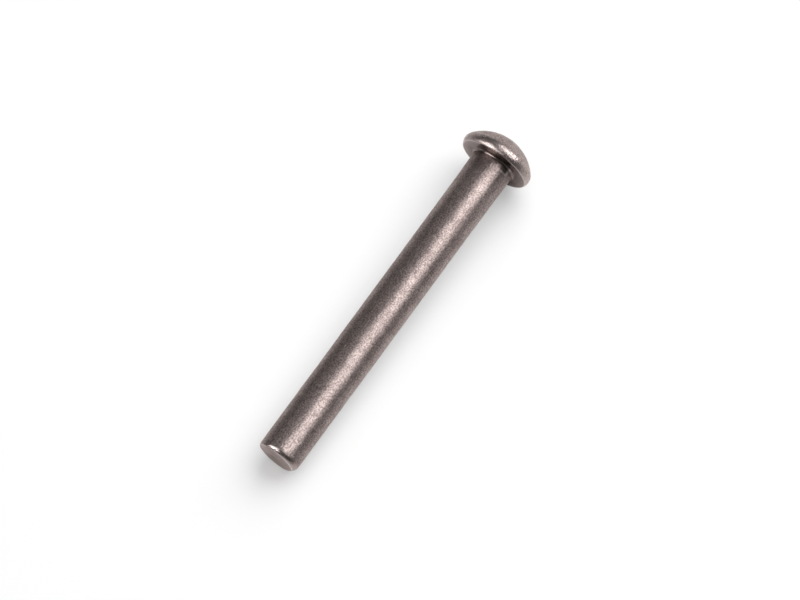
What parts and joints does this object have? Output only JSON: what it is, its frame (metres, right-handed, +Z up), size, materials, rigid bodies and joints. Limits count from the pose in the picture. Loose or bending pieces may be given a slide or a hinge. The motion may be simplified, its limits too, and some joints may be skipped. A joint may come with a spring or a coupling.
{
  "type": "solid rivet",
  "caption": "Solid steel rivet with a low domed round head, a flat seat under it and a long plain shank with a cropped end, for joining plates for good.",
  "frame": {"origin": "on the surface that the rivet lies on, under the middle of its length", "axes": "+X along the rivet from its cropped end to its head, which the shank follows at a slight rise; +Z up"},
  "size_m": [0.0542, 0.0104, 0.0103],
  "materials": {
    "bare_steel": "bare tumbled steel, satin, warm dark grey with a fine mottled grain"
  },
  "bodies": {
    "root": {"rivet": "bare_steel"}
  },
  "joints": []
}
